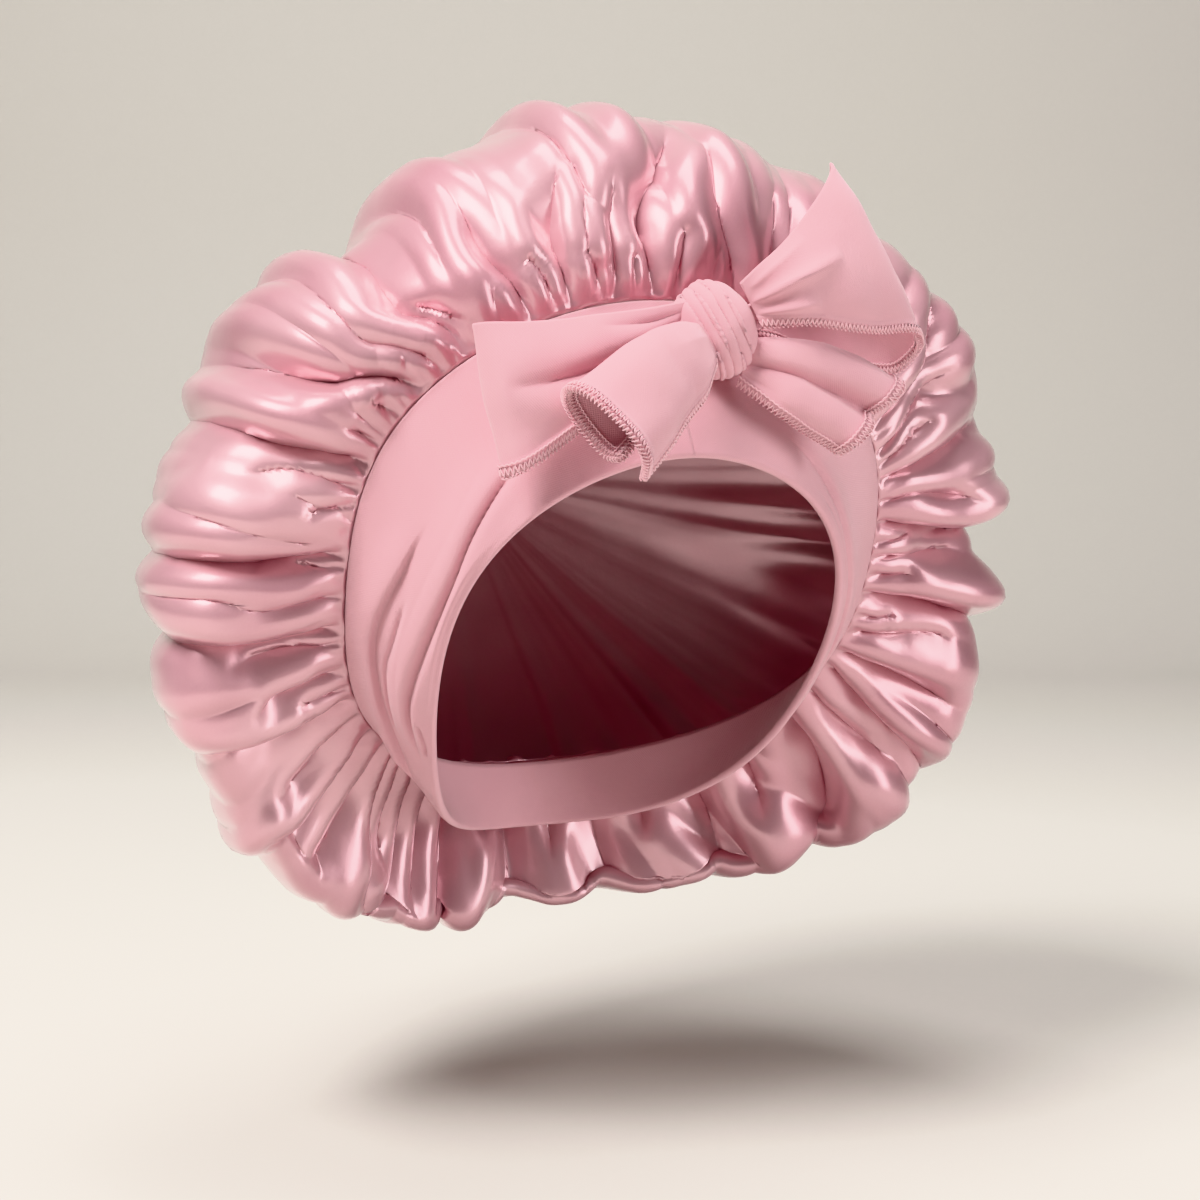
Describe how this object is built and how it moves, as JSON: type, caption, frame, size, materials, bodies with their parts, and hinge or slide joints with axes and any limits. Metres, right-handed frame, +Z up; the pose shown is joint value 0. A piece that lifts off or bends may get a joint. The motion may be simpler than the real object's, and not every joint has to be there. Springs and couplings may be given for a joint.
{
  "type": "sleep bonnet",
  "caption": "Worn sleep bonnet: a large gathered satin crown on a wide wrapped jersey band, with a knotted bow above the forehead and an open hollow for the head.",
  "frame": {"origin": "middle of the wearer's head at the height of the band, where the head holds the bonnet", "axes": "+Z up, the wearer faces -Y, +X is the wearer's left"},
  "size_m": [0.3113, 0.241, 0.2859],
  "materials": {
    "satin": "smooth glossy woven satin",
    "jersey": "matt fine knitted jersey"
  },
  "bodies": {
    "root": {"crown": "satin", "band": "jersey", "knot": "jersey", "loop_left": "jersey", "loop_right": "jersey", "tail_left": "jersey", "tail_right": "jersey"}
  },
  "joints": []
}
